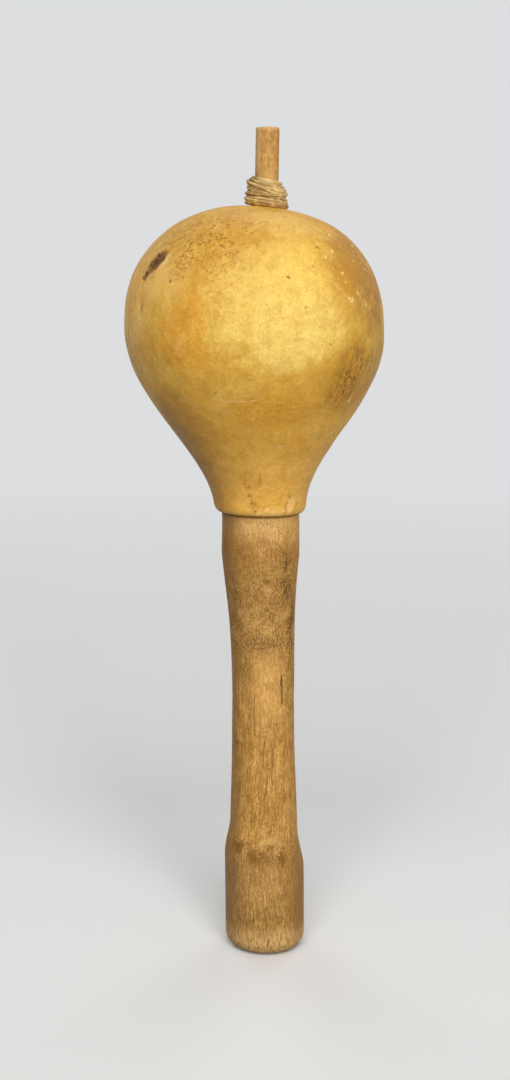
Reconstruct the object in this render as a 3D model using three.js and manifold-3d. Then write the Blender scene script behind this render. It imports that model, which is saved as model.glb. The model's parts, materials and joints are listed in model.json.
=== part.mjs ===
// Gourd rattle: a hollow gourd on a carved wooden handle, with loose pebbles inside.
// A dowel stands in the handle, runs through the gourd and out of its crown, and a cord
// lashing wound round the dowel keeps the gourd down on the handle's shoulder.
// Millimetres. +Z runs up along the dowel, +X to the right of the front, which faces -Y.
// The origin is on the dowel's axis, level with the narrowest part of the grip.
import * as THREE from "three";
import { mergeVertices } from "three/addons/utils/BufferGeometryUtils.js";
import Module from "manifold-3d";

const wasm = await Module();
wasm.setup();

// Fits between pieces
const FIT_CLEARANCE = 0.3; // round the dowel in its holes, and round the plug in the neck
const SEAT_GAP = 0.3; // under a piece that lies on a curved surface

// Gourd
const GOURD_WALL = 3.5;
const BULB_RADIUS = 44;
const DOME_HEIGHT = 41.3; // widest level up to the crown
const DOME_FULLNESS = 2.25; // exponent of the dome's superellipse: 2 is an ellipse
const TAPER_HEIGHT = 62.3; // widest level down to the rim
const TAPER_EASE = 1.07; // above 1 keeps the bulb full for longer before it narrows
const NECK_RADIUS = 15.9;
const RIM_ROUNDING = 2.5;
const BULB_SET_OVER = 3.6; // the gourd grew lopsided: its bulb lies left of the dowel
const SET_OVER_HEIGHT = 84; // above the rim, where the bulb has come over to the full
const CROWN_TILT = 0.03; // slope of the crown, down to the right
const CROWN_TILT_REACH = 36; // distance from the bulb's axis at which that slope has faded out

// Handle, from its shoulder down to the end of its pommel
const SEAT_WIDTH = 1; // ledge of the shoulder that the gourd's rim stands on
const PLUG_LENGTH = 10; // boss above the shoulder, inside the neck
const PLUG_DRAFT = 0.5; // how much narrower the boss is at its top
const PLUG_CHAMFER = 1.2;
const BAND_LENGTH = 14.7; // straight band under the shoulder
const UPPER_GRIP_LENGTH = 52; // band down to the waist
const UPPER_GRIP_CURVE = 2.2; // exponent of the swell from the waist up to the band
const WAIST_RADIUS = 10.65;
const LOWER_GRIP_LENGTH = 46; // waist down to the flare
const LOWER_GRIP_CURVE = 1;
const LOWER_GRIP_RADIUS = 12;
const FLARE_LENGTH = 15;
const FLARE_SKEW = 0.2; // the carved flare runs downhill from left to right
const FLARE_SKEW_REACH = 24; // how far above and below the flare its slant fades out
const POMMEL_RADIUS = 14.2;
const POMMEL_LENGTH = 31; // below the flare
const POMMEL_ROUNDING = 5.2;
const HANDLE_LEAN = 1.68; // degrees between the handle's axis and the dowel's

// Dowel
const DOWEL_DIAMETER = 8;
const DOWEL_SOCKET_DEPTH = 36; // below the top of the plug
const DOWEL_TIP_HEIGHT = 25.7; // above the crown
const DOWEL_TIP_CHAMFER = 0.7;

// Lashing: one cord wound down and up the dowel, then steeply down across itself to its foot
const CORD_DIAMETER = 0.7;
const CORD_PITCH = 1.32; // along the dowel, from turn to turn
const CORD_LAYER_STEP = 1.22; // outward, from layer to layer
const CORD_LAYER_TURNS = [7.5, 5.5, 2]; // from the dowel outward
const CORD_CLIMB_TURNS = 0.5; // where the winding reverses and climbs a layer
const CORD_CROSSING_TURNS = 1; // from the top of the middle layer down to the outer one

// Pebbles, one ring on the plug and one on the gourd's wall round it
const PEBBLE_RADIUS = 2.5;
const PEBBLE_SIZE_SPREAD = 0.16; // the smallest is this share smaller
const PEBBLE_GAP = 0.5; // between neighbours, and between the inner ring and the dowel
const PEBBLE_RING_COUNTS = [7, 13];
const PEBBLE_FLATNESS = 0.72; // thickness over length

// Facets
const GOURD_SEGMENTS = 44;
const GOURD_RINGS = 28;
const GOURD_INNER_RINGS = 20;
const HANDLE_SEGMENTS = 40;
const ROUND_SEGMENTS = 24;
const CORD_SIDES = 6;
const CORD_STEPS_PER_TURN = 24;
const MERGE_DISTANCE = 1e-3;

// Levels and radii that several pieces share
const RIM_Z = UPPER_GRIP_LENGTH + BAND_LENGTH;
const EQUATOR_Z = RIM_Z + TAPER_HEIGHT;
const CROWN_Z = EQUATOR_Z + DOME_HEIGHT;
const PLUG_TOP_Z = RIM_Z + PLUG_LENGTH;
const SOCKET_FLOOR_Z = PLUG_TOP_Z - DOWEL_SOCKET_DEPTH;
const TIP_Z = CROWN_Z + DOWEL_TIP_HEIGHT;
const FLARE_TOP_Z = -LOWER_GRIP_LENGTH;
const FLARE_MIDDLE_Z = FLARE_TOP_Z - FLARE_LENGTH / 2;
const POMMEL_TOP_Z = FLARE_TOP_Z - FLARE_LENGTH;
const POMMEL_END_Z = POMMEL_TOP_Z - POMMEL_LENGTH;
const DOWEL_RADIUS = DOWEL_DIAMETER / 2;
const DOWEL_HOLE_RADIUS = DOWEL_RADIUS + FIT_CLEARANCE;
const NECK_BORE_RADIUS = NECK_RADIUS - GOURD_WALL;
const PLUG_RADIUS = NECK_BORE_RADIUS - FIT_CLEARANCE;
const PLUG_TOP_RADIUS = PLUG_RADIUS - PLUG_DRAFT - PLUG_CHAMFER;
const SHOULDER_RADIUS = NECK_BORE_RADIUS + SEAT_WIDTH;

// Geometry helpers

function solidFrom(geometry) {
  const bare = geometry.clone();
  bare.deleteAttribute("normal");
  bare.deleteAttribute("uv");
  const merged = mergeVertices(bare, MERGE_DISTANCE);
  const vertProperties = merged.attributes.position.array;
  const triVerts = new Uint32Array(merged.index.array);
  return new wasm.Manifold(new wasm.Mesh({ numProp: 3, vertProperties, triVerts }));
}

function geometryFrom(solid) {
  const { vertProperties, triVerts } = solid.getMesh();
  const geometry = new THREE.BufferGeometry();
  geometry.setAttribute("position", new THREE.BufferAttribute(vertProperties, 3));
  geometry.setIndex(new THREE.BufferAttribute(triVerts, 1));
  geometry.computeVertexNormals();
  return geometry;
}

// A body turned about Z from (radius, height) points that start and end on the axis, going up.
function turned(points, segments) {
  return new THREE.LatheGeometry(points, segments).rotateX(Math.PI / 2);
}

function drillBit(radius, bottom, top) {
  const bit = new THREE.CylinderGeometry(radius, radius, top - bottom, ROUND_SEGMENTS);
  return bit.rotateX(Math.PI / 2).translate(0, 0, (top + bottom) / 2);
}

function movePoints(geometry, move) {
  const position = geometry.attributes.position;
  const point = new THREE.Vector3();
  for (let i = 0; i < position.count; i += 1) {
    move(point.fromBufferAttribute(position, i));
    position.setXYZ(i, point.x, point.y, point.z);
  }
  return geometry;
}

function arcPoints(centreRadius, centreZ, radius, startAngle, endAngle, steps) {
  return Array.from({ length: steps + 1 }, (_, i) => {
    const angle = startAngle + ((endAngle - startAngle) * i) / steps;
    return new THREE.Vector2(centreRadius + radius * Math.cos(angle), centreZ + radius * Math.sin(angle));
  });
}

// Gourd

// A point of the outer wall in the gourd's own half section: t is 0 at the rim, 1 at the crown.
function wallPoint(t) {
  if (t < 0.5) {
    const s = 1 - 2 * t;
    const share = (1 + Math.cos(Math.PI * s ** TAPER_EASE)) / 2;
    const radius = NECK_RADIUS + (BULB_RADIUS - NECK_RADIUS) * share;
    return new THREE.Vector2(radius, EQUATOR_Z - TAPER_HEIGHT * s);
  }
  const angle = Math.min((2 * t - 1) * (Math.PI / 2), Math.PI / 2);
  const power = 2 / DOME_FULLNESS;
  const acrossShare = Math.max(Math.cos(angle), 0) ** power;
  return new THREE.Vector2(BULB_RADIUS * acrossShare, EQUATOR_Z + DOME_HEIGHT * Math.sin(angle) ** power);
}

// The wall's section line, set in from the outer face by inset, from the rim up to the crown.
function wallLine(inset, rings) {
  const nudge = 1e-4;
  return Array.from({ length: rings + 1 }, (_, i) => {
    const t = i / rings;
    const along = wallPoint(Math.min(t + nudge, 1)).sub(wallPoint(Math.max(t - nudge, 0))).normalize();
    const outward = i === rings ? new THREE.Vector2(0, 1) : new THREE.Vector2(along.y, -along.x);
    return wallPoint(t).addScaledVector(outward, -inset);
  });
}

// How far the gourd's own axis lies from the dowel's at a height.
function setOver(z) {
  const share = THREE.MathUtils.clamp((z - RIM_Z) / SET_OVER_HEIGHT, 0, 1);
  return -BULB_SET_OVER * Math.sin((share * Math.PI) / 2);
}

// How far the tilted crown lies below a level one, at a place given from the bulb's own axis.
function crownDrop(x, y) {
  const fade = Math.max(1 - (x * x + y * y) / CROWN_TILT_REACH ** 2, 0);
  return CROWN_TILT * x * fade * fade;
}

function gourdShell() {
  const roundingTop = RIM_Z + RIM_ROUNDING;
  const roundingCentre = NECK_RADIUS - RIM_ROUNDING;
  const rimArc = arcPoints(roundingCentre, roundingTop, RIM_ROUNDING, -Math.PI / 2, 0, 3);
  const outside = wallLine(0, GOURD_RINGS).filter((p) => p.y > roundingTop + RIM_ROUNDING);
  const inside = wallLine(GOURD_WALL, GOURD_INNER_RINGS);
  inside[0].set(NECK_BORE_RADIUS, RIM_Z);
  inside[inside.length - 1].x = 0;
  outside[outside.length - 1].x = 0;
  const section = [...inside.reverse(), ...rimArc, ...outside];
  const shell = movePoints(turned(section, GOURD_SEGMENTS), (p) => {
    const shift = setOver(p.z);
    if (p.z > EQUATOR_Z) p.z -= crownDrop(p.x, p.y);
    p.x += shift;
  });
  const crownHole = drillBit(DOWEL_HOLE_RADIUS, EQUATOR_Z, TIP_Z);
  return geometryFrom(solidFrom(shell).subtract(solidFrom(crownHole)));
}

// Height of the crown's outer face over a point near the dowel.
function crownHeight(x, y) {
  const fromAxis = x - setOver(CROWN_Z);
  const across = Math.hypot(fromAxis, y) / BULB_RADIUS;
  const dome = DOME_HEIGHT * (1 - across ** DOME_FULLNESS) ** (1 / DOME_FULLNESS);
  return EQUATOR_Z + dome - crownDrop(fromAxis, y);
}

// Handle

function gripPoint(z) {
  if (z >= 0) {
    const swell = (z / UPPER_GRIP_LENGTH) ** UPPER_GRIP_CURVE;
    return new THREE.Vector2(WAIST_RADIUS + (SHOULDER_RADIUS - WAIST_RADIUS) * swell, z);
  }
  const swell = (z / FLARE_TOP_Z) ** LOWER_GRIP_CURVE;
  return new THREE.Vector2(WAIST_RADIUS + (LOWER_GRIP_RADIUS - WAIST_RADIUS) * swell, z);
}

function flarePoint(share) {
  const rise = (1 - Math.cos(Math.PI * share)) / 2;
  const radius = LOWER_GRIP_RADIUS + (POMMEL_RADIUS - LOWER_GRIP_RADIUS) * rise;
  return new THREE.Vector2(radius, FLARE_TOP_Z - FLARE_LENGTH * share);
}

function levels(from, to, steps) {
  return Array.from({ length: steps }, (_, i) => from + ((to - from) * i) / steps);
}

function handleBody() {
  const roundingCentre = POMMEL_RADIUS - POMMEL_ROUNDING;
  const roundingTop = POMMEL_END_Z + POMMEL_ROUNDING;
  const endArc = arcPoints(roundingCentre, roundingTop, POMMEL_ROUNDING, -Math.PI / 2, 0, 5);
  const flare = levels(1, 0, 6).map(flarePoint);
  const grip = [...levels(FLARE_TOP_Z, 0, 7), ...levels(0, UPPER_GRIP_LENGTH, 9)].map(gripPoint);
  const section = [
    new THREE.Vector2(0, POMMEL_END_Z),
    ...endArc,
    ...flare,
    ...grip,
    new THREE.Vector2(SHOULDER_RADIUS, UPPER_GRIP_LENGTH),
    new THREE.Vector2(SHOULDER_RADIUS, RIM_Z),
    new THREE.Vector2(PLUG_RADIUS, RIM_Z),
    new THREE.Vector2(PLUG_RADIUS - PLUG_DRAFT, PLUG_TOP_Z - PLUG_CHAMFER),
    new THREE.Vector2(PLUG_TOP_RADIUS, PLUG_TOP_Z),
    new THREE.Vector2(0, PLUG_TOP_Z),
  ];
  const lean = Math.tan(THREE.MathUtils.degToRad(HANDLE_LEAN));
  const body = movePoints(turned(section, HANDLE_SEGMENTS), (p) => {
    const depth = Math.max(RIM_Z - p.z, 0);
    const fromFlare = Math.min(Math.abs(p.z - FLARE_MIDDLE_Z) / FLARE_SKEW_REACH, 1);
    p.z -= FLARE_SKEW * p.x * Math.cos((fromFlare * Math.PI) / 2) ** 2;
    p.x += lean * depth;
  });
  const socket = drillBit(DOWEL_HOLE_RADIUS, SOCKET_FLOOR_Z - SEAT_GAP, CROWN_Z);
  return geometryFrom(solidFrom(body).subtract(solidFrom(socket)));
}

// Dowel

function dowelBody() {
  const section = [
    new THREE.Vector2(0, SOCKET_FLOOR_Z),
    new THREE.Vector2(DOWEL_RADIUS, SOCKET_FLOOR_Z),
    new THREE.Vector2(DOWEL_RADIUS, TIP_Z - DOWEL_TIP_CHAMFER),
    new THREE.Vector2(DOWEL_RADIUS - DOWEL_TIP_CHAMFER, TIP_Z),
    new THREE.Vector2(0, TIP_Z),
  ];
  return turned(section, ROUND_SEGMENTS);
}

// Lashing

// Where the winding changes, as turn, radius and height over the crown. Levels count pitches.
function windingStations() {
  const [inner, middle, outer] = CORD_LAYER_TURNS;
  const layerRadius = (layer) => DOWEL_RADIUS + SEAT_GAP + CORD_DIAMETER / 2 + layer * CORD_LAYER_STEP;
  const stations = [{ turn: 0, radius: layerRadius(0), height: inner * CORD_PITCH }];
  const wind = (turns, layer, level) => {
    const turn = stations.at(-1).turn + turns;
    stations.push({ turn, radius: layerRadius(layer), height: level * CORD_PITCH });
  };
  wind(inner, 0, 0);
  wind(CORD_CLIMB_TURNS, 1, 0);
  wind(middle, 1, middle);
  wind(CORD_CLIMB_TURNS, 2, middle);
  wind(CORD_CROSSING_TURNS, 2, outer);
  wind(outer, 2, 0);
  return stations;
}

// Each turn follows the slope of the crown that the lashing sits on.
function windingPath() {
  const stations = windingStations();
  const path = [];
  for (let i = 0; i + 1 < stations.length; i += 1) {
    const from = stations[i];
    const to = stations[i + 1];
    const steps = Math.round((to.turn - from.turn) * CORD_STEPS_PER_TURN);
    const lastStep = i + 2 === stations.length ? steps : steps - 1;
    for (let step = 0; step <= lastStep; step += 1) {
      const share = step / steps;
      const angle = 2 * Math.PI * THREE.MathUtils.lerp(from.turn, to.turn, share);
      const radius = THREE.MathUtils.lerp(from.radius, to.radius, share);
      const x = radius * Math.cos(angle);
      const y = radius * Math.sin(angle);
      const seat = crownHeight(x, y) + SEAT_GAP + CORD_DIAMETER / 2;
      path.push(new THREE.Vector3(x, y, seat + THREE.MathUtils.lerp(from.height, to.height, share)));
    }
  }
  return path;
}

// The least gap between stretches of the cord that lie at least half a turn apart.
function leastGap(path) {
  const apart = CORD_STEPS_PER_TURN / 2;
  let least = Infinity;
  for (let i = 0; i < path.length; i += 1) {
    for (let j = i + apart; j < path.length; j += 1) {
      least = Math.min(least, path[i].distanceTo(path[j]));
    }
  }
  return least - CORD_DIAMETER;
}

// A closed tube along a path that winds about Z.
function cordTube(path) {
  const ring = CORD_SIDES;
  const positions = [];
  path.forEach((point, i) => {
    const before = path[Math.max(i - 1, 0)];
    const after = path[Math.min(i + 1, path.length - 1)];
    const along = after.clone().sub(before).normalize();
    const outward = new THREE.Vector3(point.x, point.y, 0).normalize();
    const upward = along.clone().cross(outward).normalize();
    outward.copy(upward).cross(along);
    for (let side = 0; side < ring; side += 1) {
      const angle = (2 * Math.PI * side) / ring;
      const corner = point.clone();
      corner.addScaledVector(outward, (Math.cos(angle) * CORD_DIAMETER) / 2);
      corner.addScaledVector(upward, (Math.sin(angle) * CORD_DIAMETER) / 2);
      positions.push(corner.x, corner.y, corner.z);
    }
  });
  const index = [];
  for (let i = 0; i + 1 < path.length; i += 1) {
    for (let side = 0; side < ring; side += 1) {
      const a = i * ring + side;
      const b = i * ring + ((side + 1) % ring);
      index.push(a, b, b + ring, a, b + ring, a + ring);
    }
  }
  const end = (path.length - 1) * ring;
  for (let side = 1; side + 1 < ring; side += 1) {
    index.push(0, side + 1, side);
    index.push(end, end + side, end + side + 1);
  }
  const geometry = new THREE.BufferGeometry();
  geometry.setAttribute("position", new THREE.Float32BufferAttribute(positions, 3));
  geometry.setIndex(index);
  geometry.computeVertexNormals();
  return geometry;
}

function lashingCord() {
  const path = windingPath();
  console.log(`lashing: least gap of the cord to itself ${leastGap(path).toFixed(3)} mm`);
  return cordTube(path);
}

// Pebbles

const GOLDEN_SHARE = (Math.sqrt(5) - 1) / 2;

function pebbleRadius(index) {
  return PEBBLE_RADIUS * (1 - PEBBLE_SIZE_SPREAD * ((index * GOLDEN_SHARE) % 1));
}

// A worn stone: a flattened ball with a few broad swells, fitted into a sphere of the given radius.
function pebbleBody(radius, index) {
  const stone = new THREE.IcosahedronGeometry(1, 1);
  const phase = index * GOLDEN_SHARE * 2 * Math.PI;
  const width = (1 + PEBBLE_FLATNESS) / 2;
  let reach = 0;
  movePoints(stone, (p) => {
    const swell = 1 + 0.06 * Math.sin(2.3 * p.x + phase) + 0.05 * Math.sin(2.9 * p.y + 2 * phase);
    p.set(p.x, p.y * width, p.z * PEBBLE_FLATNESS).multiplyScalar(swell);
    reach = Math.max(reach, p.length());
  });
  stone.scale(radius / reach, radius / reach, radius / reach);
  return stone.rotateX(index).rotateY(2 * index).rotateZ(3 * index);
}

function pebbleRings() {
  const [innerCount, outerCount] = PEBBLE_RING_COUNTS;
  const half = PEBBLE_RADIUS + PEBBLE_GAP / 2;
  const inner = Math.max(DOWEL_RADIUS + PEBBLE_GAP + PEBBLE_RADIUS, half / Math.sin(Math.PI / innerCount));
  const outer = Math.max(inner + 2 * half, half / Math.sin(Math.PI / outerCount));
  return [
    { count: innerCount, radius: inner },
    { count: outerCount, radius: outer },
  ];
}

// Room between a point and what the pebbles lie on: the plug's top and the gourd's wall round it.
function roomOverFloor(point, innerLine) {
  const overTop = point.z - PLUG_TOP_Z;
  const overChamfer = (Math.hypot(point.x, point.y) - PLUG_TOP_RADIUS + overTop) / Math.SQRT2;
  const above = innerLine.findIndex((p) => p.y > point.z);
  const from = innerLine[above - 1];
  const to = innerLine[above];
  const slope = (to.x - from.x) / (to.y - from.y);
  const wallRadius = from.x + slope * (point.z - from.y);
  const toWall = (wallRadius - Math.hypot(point.x - setOver(point.z), point.y)) / Math.hypot(1, slope);
  return Math.min(Math.max(overTop, overChamfer), toWall);
}

// The lowest centre height at which every corner of a stone keeps the seat gap.
function seatHeight(stone, x, y, innerLine) {
  const corners = stone.attributes.position;
  const corner = new THREE.Vector3();
  const clearAt = (z) => {
    for (let i = 0; i < corners.count; i += 1) {
      corner.fromBufferAttribute(corners, i).add({ x, y, z });
      if (roomOverFloor(corner, innerLine) < SEAT_GAP) return false;
    }
    return true;
  };
  let low = PLUG_TOP_Z;
  let high = EQUATOR_Z;
  while (high - low > 0.01) {
    const middle = (low + high) / 2;
    if (clearAt(middle)) high = middle;
    else low = middle;
  }
  return high;
}

function pebbleMeshes(material) {
  const innerLine = wallLine(GOURD_WALL, GOURD_INNER_RINGS);
  const meshes = [];
  for (const ring of pebbleRings()) {
    for (let place = 0; place < ring.count; place += 1) {
      const index = meshes.length + 1;
      const angle = (2 * Math.PI * (place + 0.5)) / ring.count;
      const x = ring.radius * Math.cos(angle);
      const y = ring.radius * Math.sin(angle);
      const mesh = new THREE.Mesh(pebbleBody(pebbleRadius(index), index), material.clone());
      mesh.name = `pebble_${String(index).padStart(2, "0")}`;
      mesh.position.set(x, y, seatHeight(mesh.geometry, x, y, innerLine));
      meshes.push(mesh);
    }
  }
  return meshes;
}

// Assembly

const gourdSkin = new THREE.MeshStandardMaterial({ color: 0xd8a24a, roughness: 0.45, metalness: 0 });
const handleWood = new THREE.MeshStandardMaterial({ color: 0xb08047, roughness: 0.6, metalness: 0 });
const dowelWood = new THREE.MeshStandardMaterial({ color: 0xc48f50, roughness: 0.6, metalness: 0 });
const sinew = new THREE.MeshStandardMaterial({ color: 0xbf9a63, roughness: 0.7, metalness: 0 });
const stone = new THREE.MeshStandardMaterial({ color: 0x9a9084, roughness: 0.55, metalness: 0 });

function named(name, geometry, material) {
  const mesh = new THREE.Mesh(geometry, material);
  mesh.name = name;
  return mesh;
}

const rattle = new THREE.Group();
rattle.add(
  named("handle", handleBody(), handleWood),
  named("spindle", dowelBody(), dowelWood),
  named("gourd_shell", gourdShell(), gourdSkin),
  named("lashing", lashingCord(), sinew),
  ...pebbleMeshes(stone),
);

export default rattle;
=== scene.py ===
# Gourd rattle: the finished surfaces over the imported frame, in metres, with +Z up along the dowel.
import json
import math

import bmesh
import bpy
import numpy as np
from mathutils import Matrix, Vector

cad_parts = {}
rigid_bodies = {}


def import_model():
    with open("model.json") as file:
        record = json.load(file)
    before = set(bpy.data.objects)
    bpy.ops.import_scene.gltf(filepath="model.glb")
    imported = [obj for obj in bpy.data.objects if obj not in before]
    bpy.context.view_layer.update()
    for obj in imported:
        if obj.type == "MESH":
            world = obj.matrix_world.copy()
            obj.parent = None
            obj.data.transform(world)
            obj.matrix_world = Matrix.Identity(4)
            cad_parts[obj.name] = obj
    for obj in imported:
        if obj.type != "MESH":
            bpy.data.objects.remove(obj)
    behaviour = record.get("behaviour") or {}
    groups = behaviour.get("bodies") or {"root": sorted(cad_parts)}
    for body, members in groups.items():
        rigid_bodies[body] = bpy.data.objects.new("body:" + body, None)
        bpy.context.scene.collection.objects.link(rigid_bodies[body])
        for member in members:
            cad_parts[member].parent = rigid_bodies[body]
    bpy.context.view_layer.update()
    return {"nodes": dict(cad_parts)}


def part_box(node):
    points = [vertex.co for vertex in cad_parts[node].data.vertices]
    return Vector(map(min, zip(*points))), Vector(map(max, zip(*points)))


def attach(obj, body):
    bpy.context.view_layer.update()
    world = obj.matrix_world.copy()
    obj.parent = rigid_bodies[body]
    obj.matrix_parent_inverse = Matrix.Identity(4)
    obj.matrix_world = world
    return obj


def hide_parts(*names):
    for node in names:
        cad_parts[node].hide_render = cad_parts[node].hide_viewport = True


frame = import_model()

MM = 0.001
BODY = "rattle"

# Levels and radii read from the frame
SHELL_LOW, SHELL_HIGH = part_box("gourd_shell")
HANDLE_LOW, HANDLE_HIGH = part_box("handle")
DOWEL_LOW, DOWEL_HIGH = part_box("spindle")
RIM_Z = SHELL_LOW[2]
PLUG_TOP_Z = HANDLE_HIGH[2]
POMMEL_END_Z = HANDLE_LOW[2]
SOCKET_FLOOR_Z = DOWEL_LOW[2]
TIP_Z = DOWEL_HIGH[2]
DOWEL_RADIUS = (DOWEL_HIGH[0] - DOWEL_LOW[0]) / 2
BULB_RADIUS = (SHELL_HIGH[1] - SHELL_LOW[1]) / 2

# Gourd
GOURD_WALL = 3.5 * MM
DOME_HEIGHT = 41.3 * MM
DOME_FULLNESS = 2.25
TAPER_HEIGHT = 62.3 * MM
TAPER_EASE = 1.07
NECK_RADIUS = 15.9 * MM
RIM_ROUNDING = 2.5 * MM
BULB_SET_OVER = 3.6 * MM
SET_OVER_HEIGHT = 84 * MM
CROWN_TILT = 0.03
CROWN_TILT_REACH = 36 * MM
EQUATOR_Z = RIM_Z + TAPER_HEIGHT
CROWN_Z = EQUATOR_Z + DOME_HEIGHT
CAP_RADIUS = 15 * MM  # inside this the crown's rings ease over from the gourd's axis to the dowel's
FIT_CLEARANCE = 0.3 * MM
DOWEL_HOLE_RADIUS = DOWEL_RADIUS + FIT_CLEARANCE
NECK_BORE_RADIUS = NECK_RADIUS - GOURD_WALL
RELIEF_AT_RIM = (0.1 * MM, 2 * MM)  # over these heights the skin's unevenness sets in
RELIEF_AT_CROWN = 9 * MM  # the distance from the dowel's axis where it is full
GOURD_COLUMNS = 360
GOURD_ROWS = 196
GOURD_INNER_ROWS = 32

# Handle
PLUG_DRAFT = 0.5 * MM
PLUG_CHAMFER = 1.2 * MM
SHOULDER_RADIUS = NECK_BORE_RADIUS + 1 * MM
SHOULDER_EASE = 0.45 * MM
BAND_LENGTH = 14.7 * MM
UPPER_GRIP_LENGTH = RIM_Z - BAND_LENGTH
UPPER_GRIP_CURVE = 2.2
WAIST_RADIUS = 10.65 * MM
LOWER_GRIP_LENGTH = 46 * MM
LOWER_GRIP_RADIUS = 12 * MM
FLARE_LENGTH = 15 * MM
FLARE_SKEW = 0.2
FLARE_SKEW_REACH = 24 * MM
FLARE_TOP_Z = -LOWER_GRIP_LENGTH
FLARE_MIDDLE_Z = FLARE_TOP_Z - FLARE_LENGTH / 2
POMMEL_RADIUS = 14.2 * MM
POMMEL_ROUNDING = 5.2 * MM
LEAN_ANGLE = math.radians(1.68)
HANDLE_LEAN = math.tan(LEAN_ANGLE)
HANDLE_POLE = 0.3 * MM  # radius of the ring round each end's middle point
HANDLE_COLUMNS = 224
HANDLE_ROWS = 360

# Dowel, lashing and stones
TIP_WEAR = 0.7 * MM
SAW_DEPTH = 0.12 * MM
DOWEL_POLE = 0.2 * MM
DOWEL_COLUMNS = 96
DOWEL_ROWS = 180
CORD_RADIUS = 0.6 * MM
CORD_PITCH = 1 * MM
CORD_LAYER_STEP = 0.76 * MM
CORD_TWIST = 6.5 * MM  # length in which the cord's two plies go once round each other
CORD_SIDES = 14
CORD_STEPS = 64  # a turn
STONE_SWELL = 0.06
STONE_PITS = 0.05

# Camera: it stands in front of the rattle, looks down on it by ten degrees and is rolled by one
PHOTO_HEIGHT = 1080
PHOTO_FOCAL = 1600  # in the photograph's pixels
SENSOR = 36
CAMERA_DISTANCE = 556.5 * MM
CAMERA_AIM = Vector((-1.7 * MM, 0, 56.5 * MM))
CAMERA_ELEVATION = math.radians(10.2)
CAMERA_ROLL = math.radians(1.06)


# Mesh helpers

def smooth_step(value, low, high):
    share = np.clip((value - low) / (high - low), 0, 1)
    return share * share * (3 - 2 * share)


def unit(vectors):
    return vectors / np.linalg.norm(vectors, axis=-1, keepdims=True)


def axis_distance(points, least=0.0):
    """Distance of each point from the upright axis, or the least one where it is nearer."""
    return np.maximum(np.hypot(points[..., 0], points[..., 1]), least)


def waves(points, size, seed, count=9):
    """Smooth unevenness in space, mostly between -1 and 1, with swells about one size long."""
    rng = np.random.default_rng(seed)
    directions = unit(rng.normal(size=(count, 3)))
    lengths = size * rng.uniform(0.7, 1.6, count)
    phases = rng.uniform(0, 2 * math.pi, count)
    total = np.zeros(points.shape[:-1])
    for direction, length, phase in zip(directions, lengths, phases):
        total += np.sin(points @ direction * (2 * math.pi / length) + phase)
    return total / math.sqrt(count * 2)


def round_turn(count):
    return 2 * math.pi * np.arange(count) / count


def level_vectors(azimuth):
    """Unit vectors away from the axis and to the right. Azimuth: degrees right of the front."""
    angle = math.radians(azimuth)
    away = Vector((math.sin(angle), -math.cos(angle), 0))
    right = Vector((math.cos(angle), math.sin(angle), 0))
    return away, right


def new_piece(name, mesh, materials):
    """An object in the scene for a mesh, smooth all over, with these materials."""
    for material in materials:
        mesh.materials.append(material)
    mesh.polygons.foreach_set("use_smooth", np.ones(len(mesh.polygons), dtype=bool))
    piece = bpy.data.objects.new(name, mesh)
    bpy.context.scene.collection.objects.link(piece)
    return piece


def new_object(name, vertices, faces, materials, face_slots=None):
    mesh = bpy.data.meshes.new(name)
    mesh.from_pydata(vertices.tolist(), [], faces)
    piece = new_piece(name, mesh, materials)
    if face_slots is not None:
        mesh.polygons.foreach_set("material_index", np.asarray(face_slots, dtype=np.int32))
    mesh.update()
    return piece


def ring_faces(rows, columns, joined_ends=False):
    """Quads between neighbouring rings, facing out where rings go down and points go round leftward."""
    faces = []
    for row in range(rows if joined_ends else rows - 1):
        here, below = row * columns, (row + 1) % rows * columns
        for column in range(columns):
            after = (column + 1) % columns
            faces.append((here + column, below + column, below + after, here + after))
    return faces


def closed_rings(points):
    """Vertices and outward faces of rings that go up, closed by a point in the middle of each end."""
    rows, columns = points.shape[:2]
    faces = [face[::-1] for face in ring_faces(rows, columns)]
    centres = np.array([points[0].mean(0), points[-1].mean(0)])
    bottom, top = rows * columns, rows * columns + 1
    last = (rows - 1) * columns
    faces += [(bottom, (c + 1) % columns, c) for c in range(columns)]
    faces += [(top, last + c, last + (c + 1) % columns) for c in range(columns)]
    return np.concatenate([points.reshape(-1, 3), centres]), faces


def revolved(section, columns):
    turn = round_turn(columns)
    section = np.array(section)
    radius, height = section[:, :1], section[:, 1:]
    return np.stack([radius * np.cos(turn), radius * np.sin(turn), height + 0 * turn], -1)


def add_to_frame(piece, node, body=BODY):
    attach(piece, body)
    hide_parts(node)


# Shader helpers

def tilted(place, tilt):
    """A place on a surface, turned about its outward direction by degrees."""
    point, turn = place
    return point, turn @ Matrix.Rotation(math.radians(tilt), 3, "Y")


class Nodes:
    """A node tree, with short calls for its nodes. Colours are given as red, green and blue."""

    def __init__(self, tree):
        self.tree = tree

    def add(self, kind, inputs=None, **settings):
        node = self.tree.nodes.new(kind)
        for name, value in settings.items():
            setattr(node, name, value)
        return self.fill(node, inputs or {})

    def fill(self, node, inputs):
        for name, value in inputs.items():
            socket = node.inputs[name]
            if isinstance(value, bpy.types.NodeSocket):
                self.tree.links.new(value, socket)
            else:
                socket.default_value = (*value, 1.0) if socket.type == "RGBA" else value
        return node

    def math(self, operation, first, second=0.0):
        return self.add("ShaderNodeMath", {0: first, 1: second}, operation=operation).outputs[0]


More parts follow.
